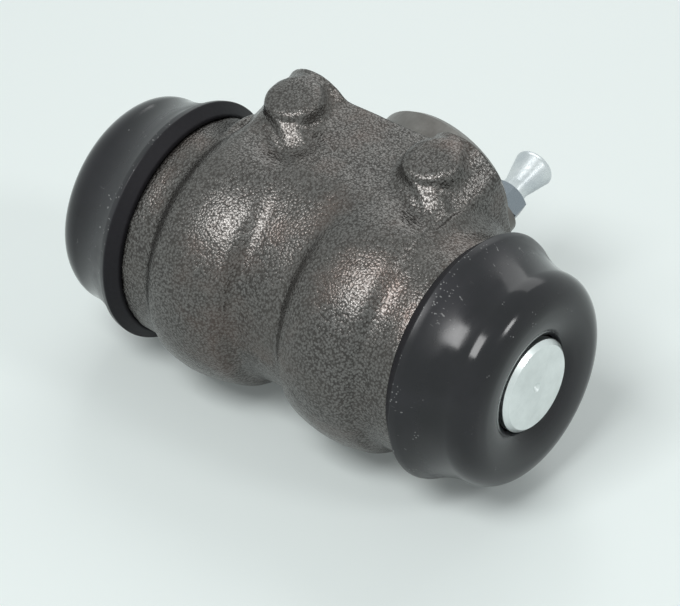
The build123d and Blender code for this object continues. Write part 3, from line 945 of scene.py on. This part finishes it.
backdrop_color = (0.805, 0.872, 0.863)
table_top, graph, shader = new_material("table_top", (0.88, 0.955, 0.94), 0.32)
shader.inputs["Specular IOR Level"].default_value = 0.30
tooth = noise(graph, where(graph), 900.0, detail=3.0)
graph.links.new(ramp(graph, tooth, 0.3, 0.7, 0.31, 0.34), shader.inputs["Roughness"])
glow = add(graph, "ShaderNodeEmission", {"Color": (*backdrop_color, 1.0), "Strength": 1.0}).outputs[0]
spot = add(graph, "ShaderNodeTexCoord").outputs["Object"]
distance = add(graph, "ShaderNodeVectorMath", {0: spot}, operation="LENGTH").outputs["Value"]
near, far_off, least_glow = 0.22, 0.9, 0.12
share = ramp(graph, distance, near, far_off, least_glow, 1.0)
share = sum_of(graph, seen_ray(graph), share, "MULTIPLY")
lit = add(graph, "ShaderNodeMixShader", {0: share, 1: shader.outputs[0], 2: glow}).outputs[0]
under = add(graph, "ShaderNodeNewGeometry").outputs["Backfacing"]
clear = add(graph, "ShaderNodeBsdfTransparent").outputs[0]
both = add(graph, "ShaderNodeMixShader", {0: under, 1: lit, 2: clear}).outputs[0]
graph.links.new(both, graph.nodes["Material Output"].inputs["Surface"])
print("made", table_top.name)

# %% [markdown]
# The table lies where the lowest point of the cylinder is, measured square to the tilted table.

# %% Table
tilt = math.radians(15.0)
table_up = Vector((0.0, math.sin(tilt), math.cos(tilt)))
lowest = min(v.co.dot(table_up) for v in boots["right"].data.vertices)
lowest = min(lowest, min(v.co.dot(table_up) for v in casting.data.vertices))
across, deep = x_axis, table_up.cross(x_axis)
reach = 6.0
square = ((-1, -1), (1, -1), (1, 1), (-1, 1))
corners = [table_up * lowest + across * sx * reach + deep * sy * reach for sx, sy in square]
table = mesh_object("table", corners, [(0, 1, 2, 3)], table_top, smooth=False)
if table.data.polygons[0].normal.dot(table_up) < 0:
    table.data.flip_normals()
print("table", round(lowest / mm, 2), "mm under the origin, measured square to it")

# %% [markdown]
# ## Light
# The highlights on the real rubber say where the lamps stood: one wide soft box above and a little in
# front, and a smaller box to the right. The faint shadow falls towards the camera, so some light comes from
# behind too. Everything else is the pale room: the world gives an even light, and whatever looks straight
# at it, be it the camera, a mirror or a pane of glass, sees the pale backdrop.


# %% Lamps and world
aim, lamp_distance = Vector((0.0, -0.012, 0.0)), 1.6


def soft_box(name, direction, size, watts):
    """A flat area lamp that looks at the object from a direction."""
    lamp = bpy.data.lights.new(name, "AREA")
    lamp.shape = "RECTANGLE"
    lamp.size, lamp.size_y = size
    lamp.energy = watts
    holder = bpy.data.objects.new(name, lamp)
    scene.collection.objects.link(holder)
    way = Vector(direction).normalized()
    holder.location = aim + way * lamp_distance
    holder.rotation_euler = way.to_track_quat("Z", "Y").to_euler()


soft_box("key", direction=(0.0, -0.34, 0.94), size=(0.80, 0.64), watts=15.0)
soft_box("side", direction=(0.79, 0.27, 0.55), size=(0.34, 0.30), watts=3.6)
soft_box("back", direction=(-0.25, 0.85, 0.46), size=(1.30, 0.80), watts=4.5)
world = bpy.data.worlds.new("pale_room")
scene.world = world
world.use_nodes = True
graph = world.node_tree
seen = seen_ray(graph)
room = add(graph, "ShaderNodeBackground", {"Color": (0.86, 0.89, 0.89, 1.0), "Strength": 0.29}).outputs[0]
backdrop = add(graph, "ShaderNodeBackground", {"Color": (*backdrop_color, 1.0), "Strength": 1.0}).outputs[0]
both = add(graph, "ShaderNodeMixShader", {0: seen, 1: room, 2: backdrop}).outputs[0]
graph.links.new(both, graph.nodes["World Output"].inputs["Surface"])
scene.view_settings.view_transform = "Standard"

# %% [markdown]
# ## Camera
# The camera was fitted to the photograph: its place, its three directions and its long lens.

# %% Camera
lens = bpy.data.cameras.new("camera")
lens.lens, lens.sensor_width, lens.sensor_fit = 204.28, 36.0, "HORIZONTAL"
lens.clip_start, lens.clip_end = 0.05, 20.0
camera = bpy.data.objects.new("camera", lens)
scene.collection.objects.link(camera)
right = Vector((0.77517, 0.60943, -0.16650))
up = Vector((-0.37351, 0.65463, 0.65723))
behind = Vector((0.50953, -0.44727, 0.73507))
turn = Matrix((right, up, behind)).transposed().to_4x4()
camera.matrix_world = Matrix.Translation(Vector((0.36134, -0.33948, 0.51709))) @ turn
scene.camera = camera
print("camera with a lens of", round(lens.lens, 1), "mm")
